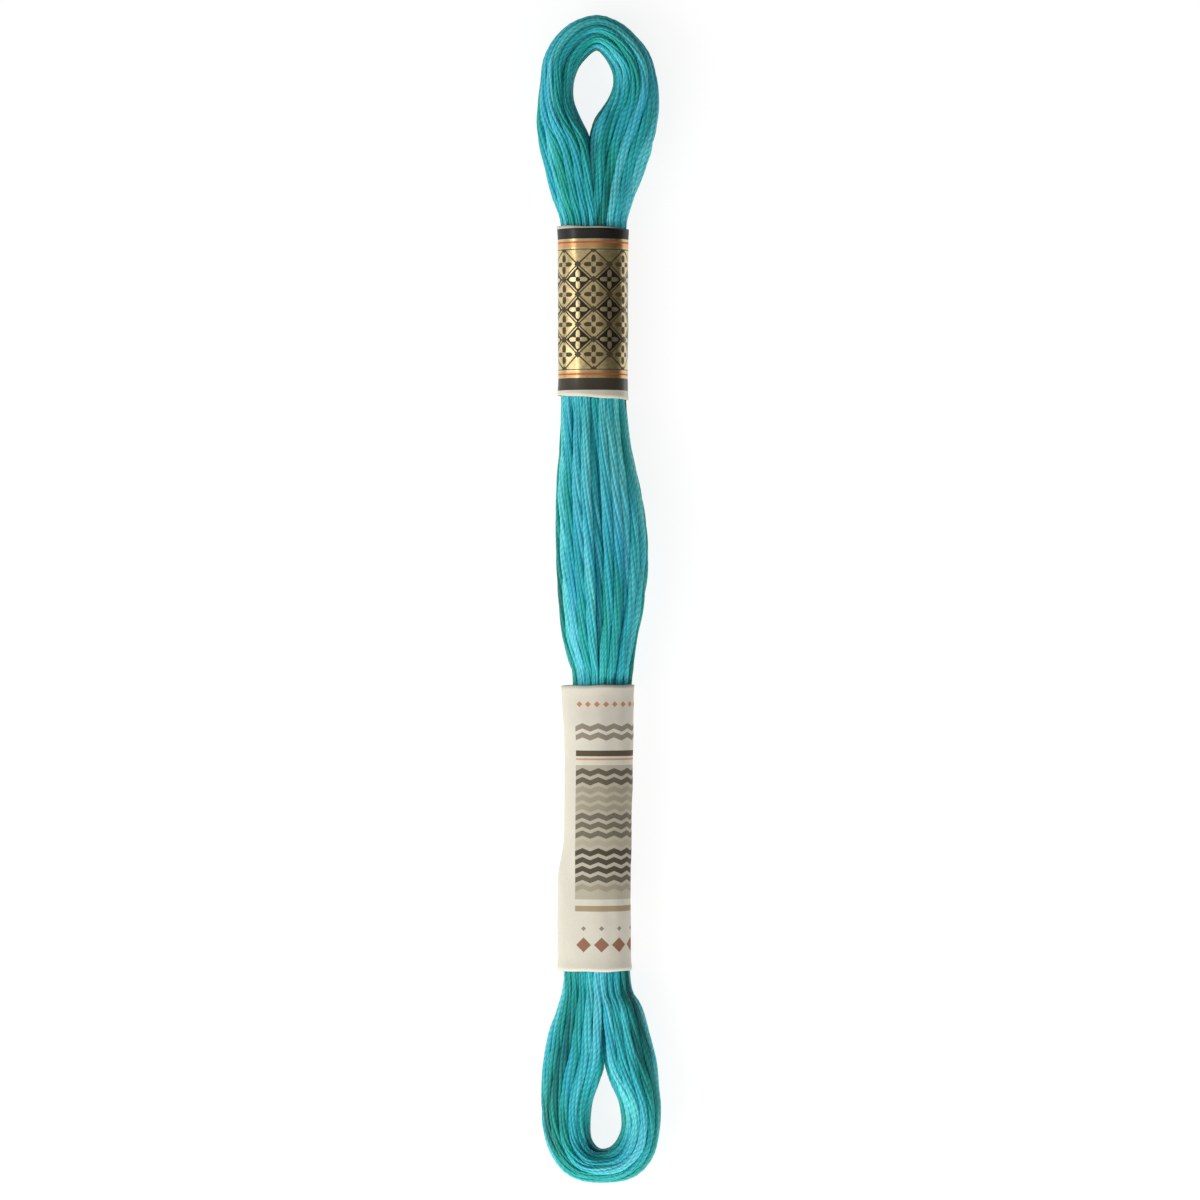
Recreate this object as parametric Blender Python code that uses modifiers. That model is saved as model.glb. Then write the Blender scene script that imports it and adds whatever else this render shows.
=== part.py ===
"""Skein of six-strand embroidery cotton, held by two paper bands.

It lies flat on its back. +Y runs along the skein, +X across it and +Z up from the surface under it.
The origin is on that surface, under the middle of the skein. Tables are in millimetres, meshes in metres.

The hank is two limbs of wound cotton that part into an eye at either end and lie together between the
eyes. Each limb is a loft through the sections of a table, ribbed like the bundles of strands in it, and
the ribs turn slowly round the limb on their way.
"""
import math
from collections import namedtuple

import bmesh
import bpy

MM = 0.001

# Hank
RIBS = 12                # bundles of strands seen round one limb
POINTS_PER_RIB = 3       # one point in the groove and two on the rib
RIB_DEPTH = 0.32         # groove between two ribs
STEPS_PER_ROW = 2        # lofted sections from one table row to the next
OUTLINE_STEPS = 120      # fine steps round a section, for even spacing by length
LEFT_TWIST = 2.0         # ribs that pass a fixed point of the section, from end to end
RIGHT_TWIST = -2.0
FLOOR_SINK = 0.30        # cotton pressed flat against the surface
CREASE = 0.40            # start of a merged limb's fall towards its neighbour, share of half its width
BACK_CROWN = 0.12        # bulge of a merged limb's inner side, share of half its width
PARTING = 0.95           # rise of a limb's underside towards its neighbour, so the two rest side by side
PARTING_START = 0.3      # where that rise begins, share of half the width
BURIED_FROM = 0.6        # where a merged limb's smooth inner side begins, share of half its width
TUCK = 0.94              # size of a limb's end, tucked inside the other limb at the top of a loop
TUCK_LENGTH = 0.7        # how far it reaches in

# Paper bands
WALL = 1.0
GAP = 0.3                # between paper and cotton
BAND_CORNER = 3.1        # corner radius of a band's rounded section
CORNER_STEPS = 7
GROOVE_REACH = 4.0       # thickness of the cutter that makes room for a band

FLOOR_BLOCK = (60.0, 240.0, 10.0)

# A section of a limb stands upright on the line from its outer to its inner edge, as seen from above.
# merged: 0 a round limb beside an eye, 1 the half of an oval where both limbs lie together.
Section = namedtuple("Section", "out_x out_y in_x in_y tall merged")

LEFT_LIMB = [
    Section(-0.30, 82.50, -0.30, 77.60, 6.2, 0.0),
    Section(-3.60, 81.65, -1.45, 76.80, 6.4, 0.0),
    Section(-6.40, 79.10, -2.55, 75.60, 6.7, 0.0),
    Section(-7.80, 76.40, -3.25, 74.20, 6.9, 0.0),
    Section(-8.25, 73.20, -3.65, 72.40, 7.0, 0.0),
    Section(-8.65, 70.00, -3.50, 70.20, 7.0, 0.0),
    Section(-8.75, 67.00, -2.50, 67.60, 7.0, 0.1),
    Section(-8.45, 64.20, -1.25, 64.90, 7.1, 0.5),
    Section(-7.60, 60.50, -0.85, 60.80, 7.1, 0.9),
    Section(-6.45, 56.20, -0.60, 56.20, 7.0, 1.0),
    Section(-5.45, 52.40, -0.50, 52.40, 6.9, 1.0),
    Section(-5.40, 40.00, -0.50, 40.00, 6.9, 1.0),
    Section(-5.45, 28.40, -0.45, 28.40, 7.0, 1.0),
    Section(-5.50, 22.50, -0.20, 22.50, 7.7, 1.0),
    Section(-5.95, 16.80, 0.00, 16.80, 8.4, 1.0),
    Section(-6.10, 11.20, 0.30, 11.20, 8.9, 1.0),
    Section(-6.00, 5.50, 0.50, 5.50, 9.0, 1.0),
    Section(-5.70, 0.00, 0.60, 0.00, 8.8, 1.0),
    Section(-5.20, -5.20, 0.60, -5.20, 8.2, 1.0),
    Section(-4.35, -9.20, 0.55, -9.20, 7.5, 1.0),
    Section(-4.10, -12.20, 0.50, -12.20, 7.0, 1.0),
    Section(-4.90, -32.00, 0.40, -32.00, 6.9, 1.0),
    Section(-5.00, -52.60, 0.70, -52.60, 6.9, 1.0),
    Section(-5.50, -56.70, 0.85, -56.70, 7.0, 1.0),
    Section(-6.90, -60.70, 1.00, -60.70, 7.0, 0.9),
    Section(-7.75, -64.40, 1.05, -65.00, 6.9, 0.5),
    Section(-8.05, -68.30, 0.10, -68.10, 6.8, 0.1),
    Section(-8.10, -72.00, -1.30, -71.20, 6.6, 0.0),
    Section(-7.80, -75.40, -1.45, -74.40, 6.4, 0.0),
    Section(-6.60, -78.70, -1.10, -76.30, 6.3, 0.0),
    Section(-3.60, -81.65, -0.30, -77.40, 6.2, 0.0),
    Section(0.50, -82.50, 0.50, -77.80, 6.1, 0.0),
]

RIGHT_LIMB = [
    Section(-0.30, 82.50, -0.30, 77.60, 6.2, 0.0),
    Section(2.70, 81.65, 0.70, 76.75, 6.4, 0.0),
    Section(5.50, 79.25, 1.50, 75.40, 6.7, 0.0),
    Section(7.30, 76.60, 2.00, 73.90, 6.9, 0.0),
    Section(8.20, 73.20, 1.95, 72.20, 7.0, 0.0),
    Section(8.45, 70.20, 1.35, 70.20, 7.0, 0.0),
    Section(8.20, 67.20, -0.20, 67.90, 7.0, 0.1),
    Section(7.40, 63.40, -1.85, 64.80, 7.0, 0.5),
    Section(6.10, 59.60, -1.70, 60.00, 6.9, 0.9),
    Section(4.60, 55.60, -1.40, 55.60, 6.9, 1.0),
    Section(3.95, 52.00, -1.30, 52.00, 6.8, 1.0),
    Section(3.90, 38.00, -1.30, 38.00, 6.8, 1.0),
    Section(3.95, 27.80, -1.25, 27.80, 6.9, 1.0),
    Section(4.60, 21.20, -1.00, 21.20, 7.8, 1.0),
    Section(5.90, 15.20, -0.75, 15.20, 8.5, 1.0),
    Section(6.75, 9.60, -0.50, 9.60, 8.8, 1.0),
    Section(6.85, 4.00, -0.30, 4.00, 8.8, 1.0),
    Section(6.25, -1.20, -0.20, -1.20, 8.5, 1.0),
    Section(5.25, -6.40, -0.20, -6.40, 7.9, 1.0),
    Section(4.75, -9.90, -0.25, -9.90, 7.3, 1.0),
    Section(4.60, -12.80, -0.30, -12.80, 6.9, 1.0),
    Section(4.50, -34.00, -0.40, -34.00, 6.8, 1.0),
    Section(4.55, -53.20, -0.10, -53.20, 6.8, 1.0),
    Section(5.75, -57.50, 0.05, -57.50, 6.9, 1.0),
    Section(7.20, -61.60, 0.20, -61.40, 6.9, 0.9),
    Section(8.10, -65.20, 0.50, -65.60, 6.8, 0.5),
    Section(8.45, -68.80, 1.95, -68.60, 6.7, 0.1),
    Section(8.75, -72.00, 3.45, -71.20, 6.6, 0.0),
    Section(8.50, -75.40, 3.55, -74.60, 6.4, 0.0),
    Section(7.40, -78.80, 2.95, -76.60, 6.3, 0.0),
    Section(4.40, -81.65, 1.85, -77.50, 6.2, 0.0),
    Section(0.50, -82.50, 0.50, -77.80, 6.1, 0.0),
]

# A paper band from its upper to its lower edge.
Ring = namedtuple("Ring", "y centre_x wide tall")

UPPER_BAND = [
    Ring(52.40, -0.75, 9.6, 6.8),
    Ring(40.40, -0.85, 9.5, 6.8),
    Ring(28.40, -0.75, 9.6, 6.8),
]
LOWER_BAND = [
    Ring(-12.15, -0.30, 9.5, 6.8),
    Ring(-32.00, -0.25, 9.3, 6.8),
    Ring(-52.40, -0.70, 9.8, 6.8),
]


def clear_scene():
    for existing in list(bpy.data.objects):
        bpy.data.objects.remove(existing, do_unlink=True)


def make_collection(name):
    collection = bpy.data.collections.new(name)
    bpy.context.scene.collection.children.link(collection)
    return collection


def make_material(name, colour, roughness, metallic=0.0):
    material = bpy.data.materials.new(name)
    material.use_nodes = True
    shader = material.node_tree.nodes["Principled BSDF"]
    shader.inputs["Base Color"].default_value = (*colour, 1.0)
    shader.inputs["Roughness"].default_value = roughness
    shader.inputs["Metallic"].default_value = metallic
    return material


def make_object(name, rings, closed_ends, collection, material=None):
    """A loft through rings of equally many points, given in millimetres."""
    mesh = bpy.data.meshes.new(name)
    shape = bmesh.new()
    loops = [[shape.verts.new([value * MM for value in point]) for point in ring] for ring in rings]
    count = len(loops[0])
    for near, far in zip(loops, loops[1:]):
        for i in range(count):
            j = (i + 1) % count
            shape.faces.new((near[i], near[j], far[j], far[i]))
    if closed_ends:
        shape.faces.new(list(reversed(loops[0])))
        shape.faces.new(loops[-1])
    bmesh.ops.recalc_face_normals(shape, faces=shape.faces)
    shape.to_mesh(mesh)
    shape.free()
    piece = bpy.data.objects.new(name, mesh)
    collection.objects.link(piece)
    if material:
        mesh.materials.append(material)
    return piece


def smooth_rows(rows, steps):
    """Catmull-Rom sections through the table's rows, each a list of the row's columns."""
    sections = []
    for k in range(len(rows) - 1):
        before, start = rows[max(k - 1, 0)], rows[k]
        end, after = rows[k + 1], rows[min(k + 2, len(rows) - 1)]
        for step in range(steps):
            t = step / steps
            sections.append([
                0.5 * (2 * b + (c - a) * t + (2 * a - 5 * b + 4 * c - d) * t ** 2
                       + (3 * b - a - 3 * c + d) * t ** 3)
                for a, b, c, d in zip(before, start, end, after)
            ])
    sections.append(list(rows[-1]))
    return sections


def limb_outline(half_wide, half_tall, merged):
    """A section's outline from its outer edge over the top, as (across, up) in millimetres."""
    outline = []
    centre = CREASE - 1.0
    for step in range(OUTLINE_STEPS):
        angle = math.tau * step / OUTLINE_STEPS
        round_across = math.cos(angle)
        half_across = max(centre + (1.0 - centre) * math.cos(angle), -1.0)
        half_across -= BACK_CROWN * max(-math.cos(angle), 0.0) ** 2
        across = round_across + (half_across - round_across) * merged
        inward = min(max(-across - PARTING_START, 0.0) / (1.0 - PARTING_START), 1.0)
        lift = PARTING * inward ** 2 if math.sin(angle) < 0.0 else 0.0
        up = math.sin(angle) * (half_tall - lift)
        outline.append((across * half_wide, up))
    return outline


def spaced_point(outline, distances, share):
    """The point at a share of the outline's length, and its direction there."""
    wanted = (share % 1.0) * distances[-1]
    k = 0
    while distances[k + 1] < wanted:
        k += 1
    (x0, z0), (x1, z1) = outline[k], outline[(k + 1) % len(outline)]
    length = distances[k + 1] - distances[k]
    t = (wanted - distances[k]) / length
    return x0 + (x1 - x0) * t, z0 + (z1 - z0) * t, (x1 - x0) / length, (z1 - z0) / length


def limb_ring(section, turn, scale=1.0):
    """One ribbed section of a limb, in millimetres."""
    out_x, out_y, in_x, in_y, tall, merged = section
    merged = min(max(merged, 0.0), 1.0)
    wide = math.hypot(out_x - in_x, out_y - in_y)
    half_wide, half_tall = wide / 2 * scale, tall / 2 * scale
    outline = limb_outline(half_wide, half_tall, merged)
    distances = [0.0]
    for k, (x0, z0) in enumerate(outline):
        x1, z1 = outline[(k + 1) % len(outline)]
        distances.append(distances[-1] + math.hypot(x1 - x0, z1 - z0))
    ring = []
    count = RIBS * POINTS_PER_RIB
    for i in range(count):
        across, up, run_x, run_z = spaced_point(outline, distances, (i / POINTS_PER_RIB + turn) / RIBS)
        if i % POINTS_PER_RIB == 0:
            shown = 1.0 if up > 0 else 1.0 - (up / half_tall) ** 2    # no grooves where it is pressed flat
            buried = merged if across < -BURIED_FROM * half_wide else 0.0     # nor where it meets the other limb
            depth = RIB_DEPTH * shown * (1.0 - buried)
            across, up = across - run_z * depth, up + run_x * depth
        share = across / wide
        ring.append((
            (out_x + in_x) / 2 + (out_x - in_x) * share,
            (out_y + in_y) / 2 + (out_y - in_y) * share,
            tall / 2 - FLOOR_SINK + up,
        ))
    return ring


def make_limb(name, rows, twist, collection, material):
    sections = smooth_rows(rows, STEPS_PER_ROW)
    last = len(sections) - 1
    rings = [limb_ring(section, twist * k / last) for k, section in enumerate(sections)]
    side = 1.0 if rows[1].out_x < rows[0].out_x else -1.0
    for at, turn, index in ((rows[0], 0.0, 0), (rows[-1], twist, len(rings) + 1)):
        inside = at._replace(out_x=at.out_x + side * TUCK_LENGTH, in_x=at.in_x + side * TUCK_LENGTH)
        rings.insert(index, limb_ring(inside, turn, TUCK))
    return make_object(name, rings, True, collection, material)


def band_ring(row, inset):
    """A rounded section of a band, drawn in by an inset from its outer face."""
    half_wide, half_tall = row.wide / 2 - inset, row.tall / 2 - inset
    corner = BAND_CORNER - inset
    ring = []
    for quarter in range(4):
        side_x = 1 if quarter in (0, 3) else -1
        side_z = 1 if quarter in (0, 1) else -1
        for step in range(CORNER_STEPS + 1):
            angle = (quarter + step / CORNER_STEPS) * math.pi / 2
            ring.append((
                row.centre_x + side_x * (half_wide - corner) + corner * math.cos(angle),
                row.y,
                row.tall / 2 + side_z * (half_tall - corner) + corner * math.sin(angle),
            ))
    return ring


def make_band(name, rows, collection, material):
    band = make_object(name, [band_ring(row, 0.0) for row in rows], False, collection, material)
    shell = band.modifiers.new("wall", "SOLIDIFY")
    shell.thickness = WALL * MM
    shell.offset = -1.0
    shell.use_even_offset = True
    return band


def make_groove(name, rows, collection):
    """The ring of space that a band needs round the cotton."""
    longer = [rows[0]._replace(y=rows[0].y + GAP), *rows[1:-1], rows[-1]._replace(y=rows[-1].y - GAP)]
    groove = make_object(name, [band_ring(row, WALL + GAP) for row in longer], False, collection)
    reach = groove.modifiers.new("reach", "SOLIDIFY")
    reach.thickness = GROOVE_REACH * MM
    reach.offset = 1.0
    reach.use_even_offset = True
    return groove


def make_floor_block(name, collection):
    mesh = bpy.data.meshes.new(name)
    shape = bmesh.new()
    bmesh.ops.create_cube(shape, size=1.0)
    bmesh.ops.scale(shape, vec=[side * MM for side in FLOOR_BLOCK], verts=shape.verts)
    bmesh.ops.translate(shape, vec=(0.0, 0.0, -FLOOR_BLOCK[2] / 2 * MM), verts=shape.verts)
    shape.to_mesh(mesh)
    shape.free()
    block = bpy.data.objects.new(name, mesh)
    collection.objects.link(block)
    return block


def apply_boolean(target, operation, other):
    """Join or cut with another shape, which is then only a guide."""
    other.hide_render = True
    other.display_type = "WIRE"
    boolean = target.modifiers.new(other.name, "BOOLEAN")
    boolean.operation = operation
    boolean.solver = "EXACT"
    boolean.object = other


def main():
    clear_scene()
    parts = make_collection("embroidery floss skein")
    cutters = make_collection("cutters")
    cotton = make_material("teal_cotton_floss", (0.035, 0.330, 0.370), 0.62)
    gold_paper = make_material("gold_printed_paper", (0.330, 0.250, 0.110), 0.42, 0.35)
    cream_paper = make_material("cream_paper", (0.800, 0.740, 0.600), 0.70)

    skein = make_limb("floss_skein", LEFT_LIMB, LEFT_TWIST, parts, cotton)
    right_limb = make_limb("right_limb", RIGHT_LIMB, RIGHT_TWIST, cutters, cotton)
    apply_boolean(skein, "UNION", right_limb)
    apply_boolean(skein, "DIFFERENCE", make_floor_block("surface_below", cutters))
    apply_boolean(skein, "DIFFERENCE", make_groove("upper_band_groove", UPPER_BAND, cutters))
    apply_boolean(skein, "DIFFERENCE", make_groove("lower_band_groove", LOWER_BAND, cutters))

    make_band("upper_band", UPPER_BAND, parts, gold_paper)
    make_band("lower_band", LOWER_BAND, parts, cream_paper)


main()
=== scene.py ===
import math

import bpy
import numpy as np
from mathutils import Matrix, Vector, noise


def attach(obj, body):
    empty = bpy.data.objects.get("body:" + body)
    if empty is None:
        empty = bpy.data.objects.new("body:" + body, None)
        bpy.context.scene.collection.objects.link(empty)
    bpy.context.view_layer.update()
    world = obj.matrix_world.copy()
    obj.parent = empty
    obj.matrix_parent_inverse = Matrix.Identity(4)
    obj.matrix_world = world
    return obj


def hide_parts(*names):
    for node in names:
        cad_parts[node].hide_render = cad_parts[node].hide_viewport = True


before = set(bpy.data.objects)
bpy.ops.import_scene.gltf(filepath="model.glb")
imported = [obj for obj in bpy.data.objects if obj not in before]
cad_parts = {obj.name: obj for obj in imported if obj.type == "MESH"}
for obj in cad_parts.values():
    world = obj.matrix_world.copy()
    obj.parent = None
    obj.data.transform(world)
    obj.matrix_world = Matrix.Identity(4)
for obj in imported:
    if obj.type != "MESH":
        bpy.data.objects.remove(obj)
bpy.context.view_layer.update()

mm = 0.001


def toLinear(hexColour):
    channels = [int(hexColour[i:i + 2], 16) / 255 for i in (1, 3, 5)]
    return [c / 12.92 if c <= 0.04045 else ((c + 0.055) / 1.055) ** 2.4 for c in channels] + [1.0]


def addNode(tree, kind, settings=None, inputs=None):
    # settings: the node's operation, or a dictionary of what its panel shows
    # inputs: values or other nodes' outputs, by name, or a list in the order that the node shows them
    node = tree.nodes.new("ShaderNode" + kind)
    if isinstance(settings, str):
        settings = {"operation": settings}
    for name, value in (settings or {}).items():
        setattr(node, name, value)
    if isinstance(inputs, dict):
        pairs = [(node.inputs[name], value) for name, value in inputs.items()]
    else:
        pairs = zip([socket for socket in node.inputs if socket.enabled], inputs or [])
    for socket, value in pairs:
        if isinstance(value, bpy.types.NodeSocket):
            tree.links.new(value, socket)
        else:
            socket.default_value = value
    return next(socket for socket in node.outputs if socket.enabled)


def newMaterial(name, finish):
    # finish: the sockets of the shader that are the same all over
    material = bpy.data.materials.new(name)
    material.use_nodes = True
    tree = material.node_tree
    shader = tree.nodes["Principled BSDF"]
    for socket, value in finish.items():
        shader.inputs[socket].default_value = value
    return material, tree, shader


def addObject(name, data):
    thing = bpy.data.objects.new(name, data)
    bpy.context.scene.collection.objects.link(thing)
    return thing


def addMap(mesh, name, uv):
    mesh.uv_layers.new(name=name).data.foreach_set("uv", uv.astype(np.float32).ravel())


def runRound(lines):
    # how far along closed lines each of their points lies, and at last the whole way round
    gaps = np.linalg.norm(np.roll(lines, -1, 0) - lines, axis=-1)
    return np.concatenate([np.zeros_like(gaps[:1]), np.cumsum(gaps, 0)])


def smoothAt(rows, at, closed=False):
    # Catmull-Rom through the rows of an array, at fractional row numbers
    count = len(rows)
    low = np.floor(at).astype(int)
    if not closed:
        low = np.clip(low, 0, count - 2)
    t = (at - low).reshape([-1] + [1] * (rows.ndim - 1))
    near = [low + k for k in (-1, 0, 1, 2)]
    near = [n % count if closed else np.clip(n, 0, count - 1) for n in near]
    a, b, c, d = (rows[n] for n in near)
    return 0.5 * (2 * b + (c - a) * t + (2 * a - 5 * b + 4 * c - d) * t ** 2
                  + (3 * b - a - 3 * c + d) * t ** 3)


def wander(random, places, count, waves):
    # slow waves of height about 1 that come back to their start, a column for each of count things
    total = np.zeros((len(places), count))
    for n in waves:
        total += np.sin(places[:, None] * math.tau * n + random.uniform(0, math.tau, count))
    return total / math.sqrt(len(waves))


def fadeBetween(value, low, high):
    t = np.clip((value - low) / (high - low), 0, 1)
    return t * t * (3 - 2 * t)


def smoothRound(values, passes):
    # evens out the rows of an array whose last row meets its first
    for _ in range(passes):
        values = values / 2 + (np.roll(values, 1, 0) + np.roll(values, -1, 0)) / 4
    return values


def smoothRows(rows, passes):
    # the same for rows that have two ends
    for _ in range(passes):
        padded = np.pad(rows, ((1, 1), (0, 0)), mode="edge")
        rows = rows / 2 + (padded[2:] + padded[:-2]) / 4
    return rows


# The two limbs of the hank, in mm. A row is an upright section of one limb, on the line from its outer
# edge to the edge at the eye. merged: 0 a round limb beside an eye, 1 half of the oval of both limbs.
limbColumns = ["outX", "outY", "inX", "inY", "tall", "merged"]
leftRows = [
    (-0.30, 82.50, -0.30, 77.60, 6.2, 0.0),
    (-3.60, 81.65, -1.45, 76.80, 6.4, 0.0),
    (-6.40, 79.10, -2.55, 75.60, 6.7, 0.0),
    (-7.80, 76.40, -3.25, 74.20, 6.9, 0.0),
    (-8.25, 73.20, -3.65, 72.40, 7.0, 0.0),
    (-8.65, 70.00, -3.50, 70.20, 7.0, 0.0),
    (-8.75, 67.00, -2.50, 67.60, 7.0, 0.1),
    (-8.45, 64.20, -1.25, 64.90, 7.1, 0.5),
    (-7.60, 60.50, -0.95, 60.80, 7.1, 0.9),
    (-6.45, 56.20, -0.80, 56.20, 6.9, 1.0),
    (-5.35, 52.40, -0.75, 52.40, 6.3, 1.0),
    (-5.30, 40.00, -0.75, 40.00, 6.2, 1.0),
    (-5.35, 28.40, -0.70, 28.40, 6.4, 1.0),
    (-5.50, 22.50, -0.50, 22.50, 7.7, 1.0),
    (-5.95, 16.80, -0.30, 16.80, 8.4, 1.0),
    (-6.10, 11.20, 0.00, 11.20, 8.8, 1.0),
    (-6.00, 5.50, 0.20, 5.50, 8.9, 1.0),
    (-5.70, 0.00, 0.30, 0.00, 8.7, 1.0),
    (-5.20, -5.20, 0.30, -5.20, 8.1, 1.0),
    (-4.20, -9.20, 0.20, -9.20, 7.2, 1.0),
    (-3.70, -12.20, 0.15, -12.20, 6.4, 1.0),
    (-4.55, -32.00, 0.05, -32.00, 6.2, 1.0),
    (-5.00, -52.60, 0.30, -52.60, 6.3, 1.0),
    (-5.50, -56.70, 0.50, -56.70, 6.9, 1.0),
    (-6.90, -60.70, 0.70, -60.70, 7.0, 0.9),
    (-7.75, -64.40, 0.90, -65.00, 6.9, 0.5),
    (-8.05, -68.30, 0.05, -68.10, 6.8, 0.1),
    (-8.10, -72.00, -0.95, -71.20, 6.6, 0.0),
    (-7.80, -75.40, -1.25, -74.40, 6.4, 0.0),
    (-6.60, -78.80, -1.05, -76.30, 6.3, 0.0),
    (-3.90, -81.75, -0.30, -77.40, 6.2, 0.0),
    (0.50, -82.50, 0.50, -77.80, 6.1, 0.0),
]
rightRows = [
    (-0.30, 82.50, -0.30, 77.60, 6.2, 0.0),
    (2.70, 81.65, 0.70, 76.75, 6.4, 0.0),
    (5.50, 79.25, 1.50, 75.40, 6.7, 0.0),
    (7.30, 76.60, 2.00, 73.90, 6.9, 0.0),
    (8.20, 73.20, 1.95, 72.20, 7.0, 0.0),
    (8.45, 70.20, 1.10, 70.20, 7.0, 0.0),
    (8.20, 67.20, -0.60, 67.90, 7.0, 0.1),
    (7.40, 63.40, -1.50, 64.80, 7.0, 0.5),
    (6.10, 59.60, -1.30, 60.00, 6.9, 0.9),
    (4.60, 55.60, -0.95, 55.60, 6.9, 1.0),
    (3.85, 52.00, -0.85, 52.00, 6.3, 1.0),
    (3.80, 38.00, -0.85, 38.00, 6.2, 1.0),
    (3.85, 27.80, -0.80, 27.80, 6.4, 1.0),
    (4.60, 21.20, -0.55, 21.20, 7.8, 1.0),
    (5.90, 15.20, -0.35, 15.20, 8.5, 1.0),
    (6.75, 9.60, -0.05, 9.60, 8.8, 1.0),
    (6.85, 4.00, 0.15, 4.00, 8.8, 1.0),
    (6.25, -1.20, 0.25, -1.20, 8.6, 1.0),
    (5.25, -6.40, 0.20, -6.40, 7.9, 1.0),
    (4.85, -9.90, 0.15, -9.90, 7.2, 1.0),
    (4.60, -12.80, 0.10, -12.80, 6.4, 1.0),
    (4.20, -34.00, -0.05, -34.00, 6.2, 1.0),
    (4.40, -53.20, 0.20, -53.20, 6.3, 1.0),
    (6.00, -57.50, 0.35, -57.50, 6.9, 1.0),
    (7.20, -61.60, 0.50, -61.40, 6.9, 0.9),
    (8.10, -65.20, 0.75, -65.60, 6.8, 0.5),
    (8.45, -68.80, 1.75, -68.60, 6.7, 0.1),
    (8.75, -72.00, 2.85, -71.20, 6.6, 0.0),
    (8.50, -75.40, 3.20, -74.60, 6.4, 0.0),
    (7.60, -78.90, 2.40, -76.60, 6.3, 0.0),
    (4.90, -81.75, 1.40, -77.50, 6.2, 0.0),
    (0.50, -82.50, 0.50, -77.80, 6.1, 0.0),
]

hank = {
    "turns": 24,             # 8 m of floss in turns of 33 cm
    "fill": 0.82,            # share of a limb's section that its strands would fill as round discs
    "loopY": (62.0, -63.0),  # beyond these heights a limb bends round its loop, mm
    "loopStations": 28,
    "middleStations": 104,
    "twist": 1.5,            # radians that a limb winds round itself from loop to loop
    "driftIn": 0.05,         # how far a strand strays towards or off the limb's middle, share of its reach
    "driftRound": 0.10,      # and round it, radians
    "scatter": 0.4,          # how unevenly the strands start round the limb, radians
    "oval": 0.3,             # how much wider they start where both limbs make one oval, share
    "rounds": 340,           # steps of the packing
    "easing": 60,            # steps that ease kinks
    "sharpest": 0.06,        # mm that a strand may bend off its line from one station to the next
    "sink": 0.15,            # how far the cotton is pressed flat against the surface, mm
    "seed": 7,
}


def limbStations(sections, places):
    # even stations down a limb: its two loops, and the stretch where both limbs lie side by side
    middle = (sections[:, 0:2] + sections[:, 2:4]) / 2
    run = np.concatenate([[0], np.cumsum(np.linalg.norm(np.diff(middle, axis=0), axis=1))])
    cuts = [0.0, *(np.interp(-y, -middle[:, 1], run) for y in hank["loopY"]), run[-1]]
    counts = [hank["loopStations"], hank["middleStations"], hank["loopStations"]]
    wanted = [np.linspace(a, b, n, endpoint=False) for a, b, n in zip(cuts, cuts[1:], counts)]
    wanted = np.concatenate(wanted + [[run[-1]]])
    return np.interp(wanted, run, places)


def makeTurn():
    # one way round: down the left limb, through the lower loop, up the right limb, over the upper loop
    rows = np.array(leftRows + rightRows[-2:0:-1])
    last, fine = len(leftRows) - 1, 60      # points from one row to the next
    downLeft = np.linspace(0, last, fine * last)
    downRight = np.linspace(len(rows), last, fine * last)
    left = limbStations(smoothAt(rows, downLeft, closed=True), downLeft)
    right = limbStations(smoothAt(rows, downRight, closed=True), downRight)
    sections = smoothAt(rows, np.concatenate([left, right[-2:0:-1]]), closed=True)
    turn = {name: sections[:, i] for i, name in enumerate(limbColumns)}
    out, inner = sections[:, 0:2], sections[:, 2:4]
    turn["count"] = len(sections)
    turn["centre"] = (out + inner) / 2
    turn["halfWide"] = np.linalg.norm(out - inner, axis=1) / 2
    turn["halfTall"] = turn["tall"] / 2
    turn["outward"] = (out - inner) / (2 * turn["halfWide"][:, None])
    turn["merged"] = np.clip(turn["merged"], 0, 1)
    place = np.arange(turn["count"])
    half = len(left) - 1
    turn["down"] = np.where(place <= half, place, turn["count"] - place) / half
    turn["mate"] = (-place) % turn["count"]     # the station beside it on the other limb
    return turn


def roomFor(turn, number, fill):
    # radius of each of number discs that fill the limb's section, mm
    return np.sqrt(fill * turn["halfWide"] * turn["halfTall"] / number)


def pushApart(x, z, otherX, otherZ, room):
    # how far each disc of a station is pushed off the others that it overlaps
    gapX = x[:, :, None] - otherX[:, None]
    gapZ = z[:, :, None] - otherZ[:, None]
    share = np.maximum(2 * room[:, :, None] / np.sqrt(gapX * gapX + gapZ * gapZ + 1e-6) - 1, 0)
    return (gapX * share).sum(2), (gapZ * share).sum(2)


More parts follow.
